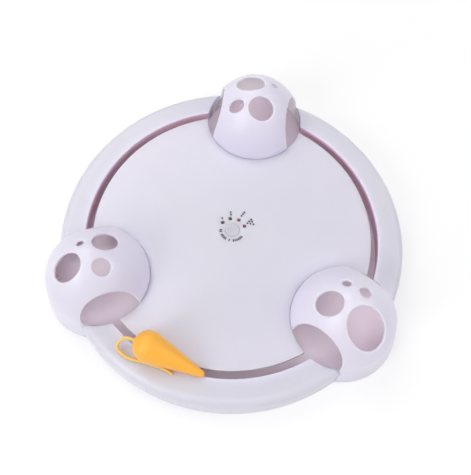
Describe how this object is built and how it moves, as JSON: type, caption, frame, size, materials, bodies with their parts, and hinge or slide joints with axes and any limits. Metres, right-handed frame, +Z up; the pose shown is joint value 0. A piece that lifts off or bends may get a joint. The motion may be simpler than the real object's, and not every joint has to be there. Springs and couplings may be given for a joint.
{
  "type": "interactive mouse cat toy",
  "caption": "Round battery toy for cats: a mouse with a string tail is carried round a slot in the deck and through hollow domes with arches and paw holes.",
  "frame": {"origin": "on the floor under the deck's centre, on the axis of the turning arm", "axes": "+Z up, +Y towards the back dome, +X towards the right"},
  "size_m": [0.3524, 0.3699, 0.086],
  "materials": {
    "white_shell": "smooth satin",
    "button": "smooth satin",
    "dusky_tray": "fine matt",
    "dark_lamp": "clear dark lens",
    "red_lamp": "clear red lens",
    "cell_wrap": "printed film",
    "brass": "plain",
    "black_rubber": "matt",
    "mouse_yellow": "soft satin",
    "tail_string": "soft matt",
    "board_green": "solder mask",
    "black_plastic": "matt",
    "nylon": "plain",
    "red_lead": "plain",
    "black_lead": "plain",
    "steel": "plain"
  },
  "bodies": {
    "base": {"base_tray": "dusky_tray", "cell_1": "cell_wrap", "cell_2": "cell_wrap", "cell_3": "cell_wrap", "spring_contacts": "brass", "flat_contacts": "brass", "rubber_feet": "black_rubber", "base_screws": "steel", "rim_front": "white_shell", "rim_left": "white_shell", "rim_right": "white_shell", "dome_back": "white_shell", "dome_left": "white_shell", "dome_right": "white_shell", "centre_deck": "white_shell", "deck_column": "nylon", "deck_screws": "steel", "circuit_board": "board_green", "control_chip": "black_plastic", "tact_switch": "black_plastic", "lamp_1": "dark_lamp", "lamp_2": "dark_lamp", "lamp_3": "red_lamp", "lamp_4": "red_lamp", "motor_can": "steel", "gear_axle": "steel", "axle_clip": "steel", "thrust_washer": "steel", "battery_leads": "red_lead", "motor_leads": "black_lead"},
    "rotor": {"main_gear": "nylon", "rotor_bush": "brass", "mouse_arm": "dusky_tray", "roller_pin": "steel", "mouse_post": "steel", "mouse_body": "mouse_yellow", "mouse_tail": "tail_string"},
    "roller": {"arm_roller": "black_rubber"},
    "compound": {"compound_gear": "nylon"},
    "pinion": {"motor_pinion": "brass"},
    "button": {"power_button": "button", "switch_plunger": "nylon"},
    "door": {"battery_door": "dusky_tray", "door_screw": "steel"}
  },
  "joints": [
    {"name": "rotor_spin", "type": "hinge", "parent": "base", "child": "rotor", "pos_m": [0, 0, 0.02], "axis": [0, 0, 1], "continuous": true},
    {"name": "roller_spin", "type": "hinge", "parent": "rotor", "child": "roller", "pos_m": [-0.04602, -0.11622, 0.0117], "axis": [-0.3681, -0.9298, 0], "continuous": true},
    {"name": "compound_spin", "type": "hinge", "parent": "base", "child": "compound", "pos_m": [0, 0.042, 0.01], "axis": [0, 0, 1], "continuous": true},
    {"name": "motor_spin", "type": "hinge", "parent": "base", "child": "pinion", "pos_m": [0.012, 0.06278, 0.017], "axis": [0, 0, 1], "continuous": true},
    {"name": "button_press", "type": "slide", "parent": "base", "child": "button", "axis": [0, 0, -1], "range_m": [0, 0.0006], "stiffness_N_per_m": 1500},
    {"name": "door_lift", "type": "slide", "parent": "base", "child": "door", "axis": [0, 0, -1], "range_m": [0, 0.02]}
  ],
  "couplings": [
    {"joint": "compound_spin", "follows": "rotor_spin", "ratio": -6},
    {"joint": "motor_spin", "follows": "rotor_spin", "ratio": 22.8},
    {"joint": "roller_spin", "follows": "rotor_spin", "ratio": -15.823}
  ]
}
